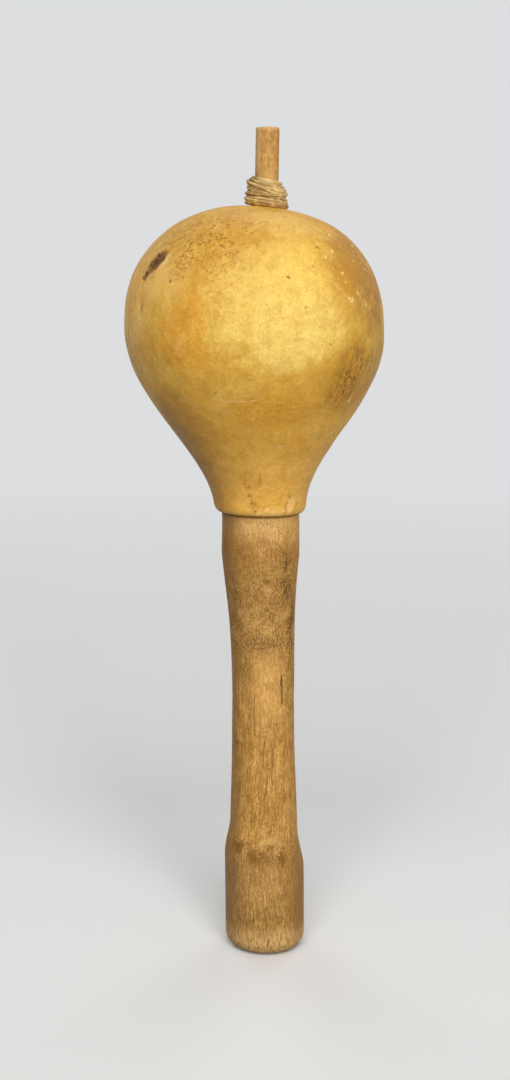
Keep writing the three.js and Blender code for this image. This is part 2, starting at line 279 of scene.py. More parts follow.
class Surface(Nodes):
    """One procedural material. Its tone is the colour so far, and sizes are in millimetres."""

    def __init__(self, name):
        self.material = bpy.data.materials.new(name)
        self.material.use_nodes = True
        super().__init__(self.material.node_tree)
        self.shader = self.tree.nodes["Principled BSDF"]
        self.where = self.add("ShaderNodeTexCoord").outputs["Object"]
        self.tone = None

    def both(self, first, *others):
        for other in others:
            first = self.math("MULTIPLY", first, other)
        return first

    def total(self, first, *others):
        for other in others:
            first = self.math("ADD", first, other)
        return first

    def axis(self, letter, where=None):
        return self.add("ShaderNodeSeparateXYZ", {0: where or self.where}).outputs[letter]

    def seen_from(self, point, turn, scale=(1, 1, 1), where=None):
        """Coordinates from a point, along the columns of a turn, in lengths of the scale."""
        inputs = {"Vector": where or self.where, "Location": point, "Scale": scale}
        inputs["Rotation"] = turn.to_euler()
        return self.add("ShaderNodeMapping", inputs, vector_type="TEXTURE").outputs[0]

    def stretched(self, scale, turn=Matrix.Identity(3), where=None):
        return self.seen_from((0, 0, 0), turn, scale, where)

    def noise_node(self, size, detail, rough, warp=0.0, where=None):
        inputs = {"Vector": where or self.where, "Scale": 1 / (size * MM), "Detail": detail}
        inputs |= {"Roughness": rough, "Distortion": warp}
        return self.add("ShaderNodeTexNoise", inputs)

    def noise(self, size, detail=3.0, rough=0.5, warp=0.0, where=None):
        return self.noise_node(size, detail, rough, warp, where).outputs["Fac"]

    def ragged(self, size, reach):
        """The position, moved about by reach in a pattern of the given size, for uneven edges."""
        usual_stray = 0.25  # of noise from its middle
        pattern = self.noise_node(size, 5.0, 0.6).outputs["Color"]
        centred = self.add("ShaderNodeVectorMath", {0: pattern, 1: (0.5, 0.5, 0.5)}, operation="SUBTRACT")
        inputs = {0: centred.outputs[0], 1: (reach * MM / usual_stray,) * 3, 2: self.where}
        return self.add("ShaderNodeVectorMath", inputs, operation="MULTIPLY_ADD").outputs[0]

    def cells(self, size, feature="F1", where=None):
        inputs = {"Vector": where or self.where, "Scale": 1 / (size * MM)}
        return self.add("ShaderNodeTexVoronoi", inputs, feature=feature).outputs["Distance"]

    def span(self, value, low, high):
        """0 at low, 1 at high, with an eased slope between. High may lie below low.

        The eased slope keeps between 0 and 1 by itself. The node's own clamp stays off, because its
        extra steps would take the largest material past what the renderer holds.
        """
        inputs = {"Value": value, "From Min": low, "From Max": high}
        node = self.add("ShaderNodeMapRange", inputs, interpolation_type="SMOOTHSTEP", clamp=False)
        return node.outputs["Result"]

    def sift(self, mask, pattern, low, high):
        """The part of a mask where a pattern lies past low, in full past high."""
        return self.both(mask, self.span(pattern, low, high))

    def spot(self, place, across, along, soft=0.5, tilt=0.0, where=None):
        """An oval patch on the surface at place: 1 inside, fading out over its soft share."""
        across, along = across * MM, along * MM
        scale = (across / 2, max(across, along), along / 2)
        local = self.seen_from(*tilted(place, tilt), scale, where)
        inside = self.add("ShaderNodeTexGradient", {"Vector": local}, gradient_type="SPHERICAL")
        return self.span(inside.outputs["Fac"], 0.0, soft)

    def stroke(self, place, length, width, tilt=0.0, bend=0.0, where=None):
        """A thin line on the surface, upright before its tilt, that bows sideways by bend at its ends."""
        length, width, bend = length * MM, width * MM, bend * MM
        local = self.seen_from(*tilted(place, tilt), where=where)
        along = self.axis("Z", local)
        bow = self.both(along, along, 4 * bend / length ** 2)
        off = self.math("ABSOLUTE", self.math("SUBTRACT", self.axis("X", local), bow))
        line = self.span(off, width / 2, width / 6)
        ends = self.span(self.math("ABSOLUTE", along), length / 2, length / 3)
        near = self.span(self.math("ABSOLUTE", self.axis("Y", local)), 1.5 * length, length)
        return self.both(line, ends, near)

    def mix(self, share, first, second, blend="MIX"):
        inputs = {"Factor": share, "A": first, "B": second}
        return self.add("ShaderNodeMix", inputs, data_type="RGBA", blend_type=blend).outputs["Result"]

    def lay(self, mask, colour, cover=1.0):
        """Lays a colour over the tone where the mask is, hiding at most the share cover of it."""
        self.tone = self.mix(self.both(mask, cover), self.tone, colour)

    def shade(self, value, dark, light, low=0.34, high=0.66):
        """Multiplies the tone by dark where the value is low, through to light where it is high."""
        self.tone = self.mix(1.0, self.tone, self.mix(self.span(value, low, high), dark, light), "MULTIPLY")

    def broken(self, mask, pattern, spread=1.6):
        """A soft mask, broken up by a pattern into patches with crisp uneven outlines."""
        shift = self.both(self.math("SUBTRACT", pattern, 0.5), spread)
        return self.span(self.total(mask, shift), 0.42, 0.58)

    def bump(self, height, depth, normal=None):
        inputs = {"Strength": 1.0, "Distance": depth * MM, "Height": height}
        if normal is not None:
            inputs["Normal"] = normal
        return self.add("ShaderNodeBump", inputs).outputs[0]

    def finish(self, roughness, normal, specular=0.5):
        inputs = {"Base Color": self.tone, "Roughness": roughness, "Normal": normal}
        self.fill(self.shader, inputs | {"Specular IOR Level": specular})
        return self.material


def marks(surface, on_surface, uneven, torn):
    """Calls for stains and strokes on a surface: azimuths and tilts in degrees, lengths in millimetres."""
    def stain(azimuth, level, across, along, soft=0.9, tilt=0.0, where=uneven):
        return surface.spot(on_surface(azimuth, level), across, along, soft, tilt, where)

    def stroke(azimuth, level, length, width, tilt=0.0, bend=0.0, where=torn):
        return surface.stroke(on_surface(azimuth, level), length, width, tilt, bend, where)

    return stain, stroke


# Gourd shape

def gourd_wall(share):
    """(radius, height) of the outer face: share runs from 0 at the rim to 1 at the crown."""
    share = np.asarray(share, dtype=float)
    drop = np.clip(1 - 2 * share, 0, 1)
    swell = (1 + np.cos(math.pi * drop ** TAPER_EASE)) / 2
    low_radius = NECK_RADIUS + (BULB_RADIUS - NECK_RADIUS) * swell
    low_height = EQUATOR_Z - TAPER_HEIGHT * drop
    angle = np.clip(2 * share - 1, 0, 1) * (math.pi / 2)
    power = 2 / DOME_FULLNESS
    high_radius = BULB_RADIUS * np.clip(np.cos(angle), 0, 1) ** power
    high_height = EQUATOR_Z + DOME_HEIGHT * np.sin(angle) ** power
    below = share < 0.5
    return np.where(below, low_radius, high_radius), np.where(below, low_height, high_height)


def gourd_inside(share):
    """(radius, height) of the inner face, one wall in from the outer one."""
    nudge = 1e-4
    after_r, after_z = gourd_wall(np.minimum(share + nudge, 1))
    before_r, before_z = gourd_wall(np.maximum(share - nudge, 0))
    along_r, along_z = after_r - before_r, after_z - before_z
    length = np.hypot(along_r, along_z)
    radius, height = gourd_wall(share)
    return radius - GOURD_WALL * along_z / length, height + GOURD_WALL * along_r / length


def set_over(height):
    """How far the gourd's own axis lies from the dowel's at a height."""
    share = np.clip((height - RIM_Z) / SET_OVER_HEIGHT, 0, 1)
    return -BULB_SET_OVER * np.sin(share * math.pi / 2)


def crown_drop(x, y):
    """How far the tilted crown lies below a level one, at a place given from the bulb's own axis."""
    fade = np.clip(1 - (x * x + y * y) / CROWN_TILT_REACH ** 2, 0, 1)
    return CROWN_TILT * x * fade * fade


def crown_height(x, y):
    from_axis = x + BULB_SET_OVER
    across = np.hypot(from_axis, y) / BULB_RADIUS
    dome = DOME_HEIGHT * (1 - across ** DOME_FULLNESS) ** (1 / DOME_FULLNESS)
    return EQUATOR_Z + dome - crown_drop(from_axis, y)


def on_gourd(azimuth, level):
    """Point of the outer face at a level in millimetres, and its (right, outward, up) turn."""
    height = level * MM
    radii, heights = gourd_wall(np.linspace(0, 1, 4001))
    step = 0.2 * MM
    radius = float(np.interp(height, heights, radii))
    widening = float(np.interp(height + step, heights, radii) - np.interp(height - step, heights, radii))
    away, right = level_vectors(azimuth)
    up = (Vector((0, 0, 2 * step)) + away * widening).normalized()
    outward = up.cross(right)
    point = away * radius + Vector((float(set_over(height)), 0, height))
    return point, Matrix((right, outward, up)).transposed()


def patch(points, place, across, along, tilt, soft):
    """A rounded patch on the surface at place, for each point: 1 inside, easing to 0 at its outline."""
    waver = 0.15
    point, turn = tilted(place, tilt)
    local = (points - np.array(point)) @ np.array(turn)
    reach = np.hypot(local[..., 0] / (across / 2), local[..., 2] / (along / 2))
    reach += waver * waves(points, across / 2, seed=7)
    near = np.abs(local[..., 1]) < max(across, along)
    return smooth_step(reach, 1.0, 1.0 - soft) * near


# Marks that are hollows in the gourd's wall as well as stains
SCAB = on_gourd(-54, 151.6)
SCAB_TAIL = on_gourd(-59.5, 147)
RIM_CHIP = on_gourd(41, 71)
NECK_PITS = [on_gourd(-11.4, 77.4), on_gourd(-11.6, 74.4), on_gourd(-9.2, 71.6)]

# Their rise, place, width, length, tilt and soft share
HOLLOWS = [
    (0.35, SCAB, 11, 15, 36, 0.9),
    (-0.8, SCAB, 6.4, 10.4, 36, 0.7),
    (-0.9, SCAB_TAIL, 3, 4.6, 20, 0.45),
    (-0.35, RIM_CHIP, 4.8, 8, -10, 0.6),
] + [(-0.25, pit, 1.5, 2, 0, 0.8) for pit in NECK_PITS]


def gourd_relief(points):
    """Unevenness of the outer face: growth lumps, the scab's hollow, the chip at the rim and pits."""
    relief = 0.14 * MM * waves(points, 38 * MM, seed=3) + 0.08 * MM * waves(points, 11 * MM, seed=4)
    for rise, place, across, along, tilt, soft in HOLLOWS:
        relief += rise * MM * patch(points, place, across * MM, along * MM, tilt, soft)
    return relief


def gourd_shell(skin, pith):
    turn = round_turn(GOURD_COLUMNS)
    cosine, sine = np.cos(turn), np.sin(turn)
    dense = np.linspace(0, 1, 6001)
    half = len(dense) // 2 + 1
    outer_r, outer_z = gourd_wall(dense)
    inner_r, inner_z = gourd_inside(dense)

    def ring(radius, height):
        x, y = radius * cosine, radius * sine
        drop = crown_drop(x, y) if height > EQUATOR_Z else 0
        return np.stack([x + set_over(height), y, height - drop + 0 * x], -1)

    def cap_ring(radius, height_over):
        x = radius * cosine - BULB_SET_OVER * smooth_step(radius, DOWEL_HOLE_RADIUS, CAP_RADIUS)
        y = radius * sine
        return np.stack([x, y, height_over(x, y)], -1)

    def inner_crown(x, y):
        from_axis = x + BULB_SET_OVER
        level = np.interp(-np.hypot(from_axis, y), -inner_r[half:], inner_z[half:])
        return level - crown_drop(from_axis, y)

    steps = np.concatenate([[0], np.cumsum(np.hypot(np.diff(outer_r), np.diff(outer_z)))])
    start = np.interp(RIM_Z + RIM_ROUNDING, outer_z, steps)
    stop = np.interp(-CAP_RADIUS, -outer_r[half:], steps[half:])
    walk = np.linspace(stop, start, GOURD_ROWS)
    rows = [cap_ring(r, crown_height) for r in np.linspace(DOWEL_HOLE_RADIUS, CAP_RADIUS, 16)[:-1]]
    rows += [ring(np.interp(s, steps, outer_r), np.interp(s, steps, outer_z)) for s in walk]
    for angle in np.linspace(0, math.pi / 2, 7)[1:]:
        radius = NECK_RADIUS - RIM_ROUNDING * (1 - math.cos(angle))
        rows.append(ring(radius, RIM_Z + RIM_ROUNDING * (1 - math.sin(angle))))
    outer_rows = len(rows)
    rows.append(ring((NECK_RADIUS - RIM_ROUNDING + NECK_BORE_RADIUS) / 2, RIM_Z))
    rows.append(ring(NECK_BORE_RADIUS, RIM_Z))
    inner_stop = np.interp(-CAP_RADIUS, -inner_r[half:], dense[half:])
    for share in np.linspace(0, inner_stop, GOURD_INNER_ROWS)[1:]:
        rows.append(ring(np.interp(share, dense, inner_r), np.interp(share, dense, inner_z)))
    rows += [cap_ring(r, inner_crown) for r in np.linspace(CAP_RADIUS, DOWEL_HOLE_RADIUS, 7)[1:]]

    points = np.array(rows)
    outer = points[:outer_rows]
    along = np.gradient(outer, axis=0)
    around = np.roll(outer, -1, axis=1) - np.roll(outer, 1, axis=1)
    outward = unit(np.cross(along, around))
    fade = smooth_step(outer[..., 2], RIM_Z + RELIEF_AT_RIM[0], RIM_Z + RELIEF_AT_RIM[1])
    fade *= smooth_step(axis_distance(outer), DOWEL_HOLE_RADIUS, RELIEF_AT_CROWN)
    points[:outer_rows] = outer + outward * (gourd_relief(outer) * fade)[..., None]

    faces = ring_faces(len(rows), GOURD_COLUMNS, joined_ends=True)
    slots = [0 if index // GOURD_COLUMNS < outer_rows - 1 else 1 for index in range(len(faces))]
    piece = new_object("gourd_shell_skin", points.reshape(-1, 3), faces, [skin, pith], slots)
    add_to_frame(piece, "gourd_shell")


# Handle shape

def handle_radius(height):
    height = np.asarray(height, dtype=float)
    upper = np.clip(height / UPPER_GRIP_LENGTH, 0, 1) ** UPPER_GRIP_CURVE
    lower = np.clip(height / FLARE_TOP_Z, 0, 1)
    flare = (1 - np.cos(math.pi * np.clip((FLARE_TOP_Z - height) / FLARE_LENGTH, 0, 1))) / 2
    radius = WAIST_RADIUS + (SHOULDER_RADIUS - WAIST_RADIUS) * upper
    radius += (LOWER_GRIP_RADIUS - WAIST_RADIUS) * lower
    return radius + (POMMEL_RADIUS - LOWER_GRIP_RADIUS) * flare


def flare_slant(x, height):
    """How far the slanted flare lowers a point of the handle."""
    from_flare = np.clip(np.abs(height - FLARE_MIDDLE_Z) / FLARE_SKEW_REACH, 0, 1)
    return FLARE_SKEW * x * np.cos(from_flare * math.pi / 2) ** 2


def on_handle(azimuth, level):
    """Point of the handle at a level in millimetres, and its (right, outward, up) turn."""
    height = level * MM
    away, right = level_vectors(azimuth)
    centre = Vector((HANDLE_LEAN * (RIM_Z - height), 0, height))
    point = away * float(handle_radius(height)) + centre
    return point, Matrix((right, away, Vector((0, 0, 1)))).transposed()


def handle_relief(points):
    """Unevenness that the knife left: long shallow facets, finer ripples and two low swells."""
    relief = 0.14 * MM * waves(points * np.array([1, 1, 0.35]), 15 * MM, seed=11)
    relief += 0.05 * MM * waves(points * np.array([1, 1, 0.2]), 5 * MM, seed=12)
    rightward = points[..., 0] / axis_distance(points, 0.1 * MM)
    for rise, level, reach, side in ((0.75, 10, 34, 1), (0.4, 46, 20, -1)):
        swell = smooth_step(np.abs(points[..., 2] - level * MM), reach * MM, 0)
        relief += rise * MM * swell * smooth_step(side * rightward, 0.1, 1)
    clear_of_shoulder = smooth_step(RIM_Z - points[..., 2], 0, 3 * MM)
    clear_of_end = smooth_step(points[..., 2] - POMMEL_END_Z, 0, 6 * MM)
    return relief * clear_of_shoulder * clear_of_end


def handle_body(wood):
    end_radius = POMMEL_RADIUS - POMMEL_ROUNDING
    ease_radius = SHOULDER_RADIUS - SHOULDER_EASE
    carved = [(r, POMMEL_END_Z) for r in np.linspace(HANDLE_POLE, end_radius, 12)[:-1]]
    for angle in np.linspace(0, math.pi / 2, 14):
        rise = POMMEL_ROUNDING * (1 - math.cos(angle))
        carved.append((end_radius + POMMEL_ROUNDING * math.sin(angle), POMMEL_END_Z + rise))
    heights = np.linspace(POMMEL_END_Z + POMMEL_ROUNDING, RIM_Z - SHOULDER_EASE, HANDLE_ROWS)[1:]
    carved += list(zip(handle_radius(heights), heights))
    for angle in np.linspace(0, math.pi / 2, 5)[1:]:
        drop = SHOULDER_EASE * (1 - math.sin(angle))
        carved.append((ease_radius + SHOULDER_EASE * math.cos(angle), RIM_Z - drop))

    plug = NECK_BORE_RADIUS - FIT_CLEARANCE
    plug_top = plug - PLUG_DRAFT - PLUG_CHAMFER
    socket_floor = SOCKET_FLOOR_Z - FIT_CLEARANCE
    hidden = [(plug, RIM_Z), (plug - PLUG_DRAFT, PLUG_TOP_Z - PLUG_CHAMFER), (plug_top, PLUG_TOP_Z)]
    hidden += [(DOWEL_HOLE_RADIUS, z) for z in np.linspace(PLUG_TOP_Z, socket_floor, 8)]
    hidden.append((HANDLE_POLE, socket_floor))

    points = revolved(carved + hidden, HANDLE_COLUMNS)
    outside = points[:len(carved)]
    slant = flare_slant(outside[..., 0], outside[..., 2])
    relief = handle_relief(outside)
    outside[..., :2] *= (1 + relief / axis_distance(outside, 0.1 * MM))[..., None]
    outside[..., 0] += HANDLE_LEAN * (RIM_Z - outside[..., 2])
    outside[..., 2] -= slant
    vertices, faces = closed_rings(points)
    add_to_frame(new_object("handle_carved", vertices, faces, [wood]), "handle")


# Dowel shape

def dowel(wood):
    bite = DOWEL_RADIUS - TIP_WEAR
    section = [(r, SOCKET_FLOOR_Z) for r in np.linspace(DOWEL_POLE, DOWEL_RADIUS, 4)]
    section += [(DOWEL_RADIUS, z) for z in np.linspace(SOCKET_FLOOR_Z, TIP_Z - TIP_WEAR, DOWEL_ROWS)[1:]]
    for angle in np.linspace(0, math.pi / 2, 6)[1:]:
        section.append((bite + TIP_WEAR * math.cos(angle), TIP_Z - TIP_WEAR * (1 - math.sin(angle))))
    section += [(r, TIP_Z) for r in np.linspace(bite, DOWEL_POLE, 10)[1:]]
    points = revolved(section, DOWEL_COLUMNS)
    bare = smooth_step(points[..., 2], CROWN_Z, CROWN_Z + 8 * MM)
    wear = 0.07 * MM * (waves(points * np.array([1, 1, 0.25]), 5 * MM, seed=21).clip(-1, 1) - 1) * bare
    points[..., :2] *= (1 + wear / axis_distance(points, 1 * MM))[..., None]
    sawn = smooth_step(points[..., 2], TIP_Z - 0.1 * MM, TIP_Z)
    points[..., 2] -= SAW_DEPTH * sawn * (1 + waves(points, 3 * MM, seed=22).clip(-1, 1))
    vertices, faces = closed_rings(points)
    add_to_frame(new_object("spindle_dowel", vertices, faces, [wood]), "spindle")


# Lashing shape

# Each stretch's turns, then the layer, the level in pitches and the slant, a fall to the right, at its end.
# The cord goes down and up the dowel, steeply down across itself, then round its foot.
WINDING = [
    (0, 0, 8.8, 0.06),
    (9.5, 0, 0, 0.02),
    (0.5, 1, 0, 0.03),
    (7.5, 1, 7.3, 0.12),
    (0.5, 1.9, 6.3, 0.16),
    (6.5, 2, 0.3, 0.1),
    (0.5, 2.8, 0, 0.03),
    (2.5, 2.7, 2.6, 0.12),
    (0.5, 2.6, 4.4, -0.02),
    (0.5, 2.1, 6.2, 0.2),
    (0.5, 2.6, 3.4, 0.26),
    (0.5, 3.1, 1.4, 0.12),
    (0.75, 3.2, 0, 0.03),
]
HIDDEN_START = 0.25  # the turn at which the cord's first end lies behind the dowel


def winding():
    """The cord's centre line, a little uneven all along."""
    stretches, layers, levels, slants = np.array(WINDING).T
    turns = np.cumsum(stretches)
    turn = np.linspace(HIDDEN_START, turns[-1], int(turns[-1] * CORD_STEPS))
    wander = 0.6 * np.sin(2.3 * turn) + 0.4 * np.sin(5.1 * turn + 1)
    angle = 2 * math.pi * (turn - turns[-1]) + math.pi / 2
    layer = np.interp(turn, turns, layers)
    radius = DOWEL_RADIUS + CORD_RADIUS + layer * CORD_LAYER_STEP + 0.05 * MM * wander
    x, y = radius * np.cos(angle), radius * np.sin(angle)
    height = CORD_PITCH * np.interp(turn, turns, levels)
    lifted = smooth_step(height, 0, 2.4 * MM)
    fall = (np.interp(turn, turns, slants) + 0.025 * np.sin(1.9 * turn)) * x * lifted
    uneven = 0.12 * MM * lifted * np.sin(3.7 * turn + 2)
    return np.stack([x, y, crown_height(x, y) + 0.9 * CORD_RADIUS + height - fall + uneven], -1)


def lashing(sinew):
    path = winding()
    along = unit(np.gradient(path, axis=0))
    upward = unit(np.cross(along, unit(path * np.array([1, 1, 0]))))
    outward = np.cross(upward, along)
    run = np.concatenate([[0], np.cumsum(np.linalg.norm(np.diff(path, axis=0), axis=1))])
    from_end = np.minimum(run, run[-1] - run)
    section = round_turn(CORD_SIDES)
    twist = 2 * math.pi * run / CORD_TWIST
    lobes = 0.98 + 0.1 * np.cos(2 * (section[None, :] - twist[:, None]))
    thickness = 1 + 0.07 * np.sin(run / (1.7 * MM)) * np.sin(run / (2.9 * MM))
    ends = smooth_step(from_end, -1 * MM, 1.5 * MM)
    reach = CORD_RADIUS * lobes * (thickness * ends)[:, None]
    across, rise = reach * np.cos(section), reach * np.sin(section)
    points = path[:, None] + outward[:, None] * across[..., None] + upward[:, None] * rise[..., None]
    vertices, faces = closed_rings(points)
    piece = new_object("lashing_cord", vertices, [face[::-1] for face in faces], [sinew])

    # The same points on a straightened cord, for its fibres and its painted shade. Its cut ends count as
    # facing out, so the painted shade leaves them.
    cut_end = smooth_step(from_end, 1.5 * MM, 0.5 * MM)[:, None]
    lengthways = run[:, None] + 0 * section
    outer_share = np.cos(section) * (1 - cut_end) + cut_end
    upper_share = np.sin(section) + 0 * lengthways
    straight = np.stack([lengthways, CORD_RADIUS * outer_share, CORD_RADIUS * upper_share], -1)
    middles = [[0, CORD_RADIUS, 0], [run[-1], CORD_RADIUS, 0]]
    layer = piece.data.attributes.new("straight_cord", "FLOAT_VECTOR", "POINT")
    layer.data.foreach_set("vector", np.concatenate([straight.reshape(-1, 3), middles]).ravel())
    add_to_frame(piece, "lashing")


# Pebble shapes

def pebble(node, stone):
    """A worn stone over its solid: rounded by subdivision, then pitted."""
    mesh = bmesh.new()
    mesh.from_mesh(bpy.data.objects[node].data)
    bmesh.ops.remove_doubles(mesh, verts=mesh.verts, dist=0.001 * MM)
    bmesh.ops.subdivide_edges(mesh, edges=mesh.edges, cuts=3, use_grid_fill=True)
    every_way = {"use_axis_" + letter: True for letter in "xyz"}
    for _ in range(4):
        bmesh.ops.smooth_vert(mesh, verts=mesh.verts, factor=0.5, **every_way)
    mesh.normal_update()
    for vertex in mesh.verts:
        pitted = float(waves(np.array([vertex.co]), 1.1 * MM, seed=31)[0])
        vertex.co += vertex.normal * (STONE_SWELL + STONE_PITS * pitted) * MM
    data = bpy.data.meshes.new(node + "_stone")
    mesh.to_mesh(data)
    mesh.free()
    add_to_frame(new_piece(node + "_stone", data, [stone]), node, node + "_body")


# Gourd skin

def gourd_skin():
    """Dried gourd skin: golden front, orange stains, a mottled crown, dirt, scars and pale specks, with
    painted light and shade on its left side and painted shade under the rim.
    """
    skin = Surface("gourd_skin")
    lay, sift, both, span = skin.lay, skin.sift, skin.both, skin.span
    height = skin.axis("Z")
    uneven = skin.ragged(13, 5)
    torn = skin.ragged(1.8, 0.7)
    upright = skin.stretched((1, 1, 5))
    clouds = skin.noise(20, detail=8, rough=0.62, warp=0.9)
    patches = skin.noise(6, detail=7, rough=0.66, warp=0.5)
    runs = skin.noise(2.6, detail=6, rough=0.62, where=upright)
    grain = skin.noise(1.6, detail=5, rough=0.7, warp=0.3)
    grit = skin.noise(0.6, detail=3, rough=0.65)
    stain, scratch = marks(skin, on_gourd, uneven, torn)

    def tint(colour, cover, *spot):
        lay(stain(*spot), colour, cover)

    def mottle(pattern, colour, cover, *spot, spread=1.6):
        lay(skin.broken(stain(*spot, soft=0.95), pattern, spread), colour, cover)

    def speck(colour, cover, *spot):
        lay(stain(*spot, where=torn), colour, cover)

    gold, ochre, orange = (0.88, 0.555, 0.105), (0.76, 0.425, 0.064), (0.85, 0.425, 0.045)
    brown, umber, russet = (0.42, 0.185, 0.022), (0.22, 0.09, 0.011), (0.44, 0.195, 0.034)
    pale, bark, rust = (0.94, 0.68, 0.28), (0.55, 0.25, 0.03), (0.60, 0.28, 0.03)
    scab_dark, scab_brown = (0.07, 0.03, 0.011), (0.30, 0.14, 0.06)

    # Broad colours of the front and its two sides, with painted light on the bulb's left edge and painted
    # shade on the neck's left
    film = skin.noise(10, detail=9, rough=0.64, warp=0.7)
    lower = span(height, 122 * MM, 102 * MM)
    skin.tone = skin.mix(span(clouds, 0.42, 0.58), ochre, gold)
    # Painted light: the bulb's left edge made lighter, as if lit from the left
    tint((1.0, 0.615, 0.17), 0.9, -68, 134, 42, 62)
    mottle(film, (0.95, 0.67, 0.15), 0.7, 10, 140, 84, 74)
    tint((0.98, 0.72, 0.18), 0.5, 12, 136, 60, 50)
    mottle(film, (0.99, 0.75, 0.21), 0.4, 16, 128, 54, 40)
    mottle(patches, orange, 0.55, -31, 130, 28, 56)
    tint(orange, 0.35, -30, 132, 22, 44)
    lay(skin.broken(lower, film), (0.86, 0.455, 0.05), 0.55)
    lay(lower, (0.93, 0.53, 0.085), 0.5)
    mottle(patches, (0.74, 0.35, 0.03), 0.55, 6, 105, 44, 26, spread=2.4)
    lay(span(height, 100 * MM, 76 * MM), (0.89, 0.515, 0.115), 0.8)
    tint(brown, 0.4, -54, 99, 42, 36)
    mottle(patches, brown, 0.25, -50, 100, 44, 40)
    # Painted shade: the neck's left side darkened
    tint((0.38, 0.165, 0.018), 0.85, -68, 84, 42, 60, 0.95)
    tint((0.50, 0.235, 0.026), 0.55, 62, 152, 40, 52, 0.8)
    mottle(patches, (0.46, 0.21, 0.024), 0.4, 62, 148, 46, 70)
    tint(brown, 0.45, 72, 120, 24, 60)

    # The back, then the fine grain all over
    lay(span(skin.axis("Y"), 4 * MM, 30 * MM), (0.92, 0.51, 0.085), 0.45)
    for spot in ((150, 138, 56, 62), (-128, 122, 40, 56), (205, 108, 50, 30)):
        mottle(film, orange, 0.5, *spot)
    mottle(patches, brown, 0.3, 172, 132, 40, 50)
    lay(span(film, 0.54, 0.57), orange, 0.25)
    lay(span(film, 0.43, 0.4), pale, 0.15)
    skin.shade(patches, (0.88, 0.82, 0.70), (1.08, 1.09, 1.12))
    skin.shade(runs, (0.97, 0.95, 0.92), (1.02, 1.025, 1.04))
    skin.shade(grain, (0.91, 0.87, 0.79), (1.05, 1.06, 1.09))
    skin.shade(grit, (0.90, 0.87, 0.80), (1.06, 1.07, 1.09))

    # Mottling of the right edge, the low middle and the crown
    right_edge, mid_low = stain(72, 138, 46, 84), stain(8, 107, 64, 30)
    lay(sift(right_edge, patches, 0.5, 0.57), (0.28, 0.11, 0.01), 0.5)
    lay(sift(right_edge, grain, 0.44, 0.34), (0.86, 0.52, 0.12), 0.45)
    lay(sift(mid_low, grain, 0.5, 0.62), brown, 0.36)
    lay(sift(mid_low, grain, 0.48, 0.38), (0.93, 0.58, 0.11), 0.5)
    tint((1.0, 0.62, 0.18), 0.65, -46, 147, 32, 26)
    tint((0.90, 0.58, 0.22), 0.3, 4, 166, 64, 22)
    mottling = sift(span(grain, 0.5, 0.6), patches, 0.44, 0.54)
    crown_left = stain(-30, 158, 70, 44)
    mottle(patches, (0.64, 0.33, 0.045), 0.25, -26, 157, 76, 50)
    crumbs = sift(span(grit, 0.5, 0.57), grain, 0.46, 0.54)
    lay(both(crumbs, crown_left), (0.36, 0.14, 0.008), 0.9)
    lay(both(mottling, crown_left), (0.38, 0.155, 0.01), 0.8)
    lay(both(mottling, stain(64, 146, 36, 60)), russet, 0.7)
    lay(sift(mottling, height, 150 * MM, 168 * MM), russet, 0.5)
    veins = span(skin.cells(4.2, "DISTANCE_TO_EDGE", torn), 0.06, 0.0)
    lay(sift(both(veins, crown_left), clouds, 0.45, 0.58), russet, 0.6)
    lay(sift(both(veins, stain(-20, 146, 34, 46)), film, 0.46, 0.54), russet, 0.5)

    # The dark patch low on the right, freckles and flecks
    dirt = sift(sift(span(grain, 0.36, 0.62), patches, 0.3, 0.56), runs, 0.32, 0.56)
    tint((0.54, 0.225, 0.004), 0.55, 48, 115, 30, 46, 0.95)
    streaked = skin.total(both(runs, 0.5), both(grit, 0.5))
    lay(sift(stain(50, 116, 34, 42, 0.95), streaked, 0.49, 0.54), (0.24, 0.09, 0.001), 0.7)
    lay(sift(stain(49, 115, 28, 36, 0.95), grain, 0.5, 0.57), (0.18, 0.068, 0.001), 0.7)
    lay(both(stain(36, 105, 26, 12, 0.8), dirt), brown, 0.6)
    freckles = sift(span(skin.cells(5.2, where=torn), 0.1, 0.05), clouds, 0.46, 0.56)
    freckles = sift(freckles, height, 98 * MM, 108 * MM)
    lay(freckles, umber, 0.6)
    fleck_ground = skin.total(stain(55, 151, 46, 50, where=None), stain(53, 107, 12, 8, where=None))
    flecks = sift(span(skin.cells(3.7, where=torn), 0.3, 0.14), patches, 0.36, 0.46)
    lay(sift(flecks, fleck_ground, 0.1, 0.6), (0.95, 0.67, 0.21), 0.8)
    speck(pale, 0.9, 54.8, 107.7, 1.6, 2.8, 0.6, 25)
    for place in ((-39.6, 145.5), (15, 147.5), (22.3, 138.4)):
        speck(umber, 0.8, *place, 1.6, 1.3, 0.7)
    speck(brown, 0.8, -56.5, 136.5, 2.6, 6.5)
    lay(scratch(-10, 107.8, 20, 0.55, 90, -1.2, None), pale, 0.6)

    # The scab
    speck(russet, 0.4, -56, 150, 12, 16, 0.95, 36)
    speck(pale, 0.65, -48.5, 151.5, 4, 10, 0.8, 30)
    lay(scratch(-48, 158.5, 8, 1.1, 44, where=None), brown, 0.8)
    scab = skin.spot(SCAB, 7.4, 12.4, 0.5, 36, torn)
    tail = skin.spot(SCAB_TAIL, 3.4, 5.2, 0.5, 20, torn)
    crust = skin.math("MAXIMUM", scab, tail)
    lay(crust, skin.mix(span(grain, 0.42, 0.58), scab_dark, scab_brown), 0.9)
    lay(stain(-58.4, 146.3, 1.6, 3, 0.6, where=None), (0.03, 0.013, 0.005))
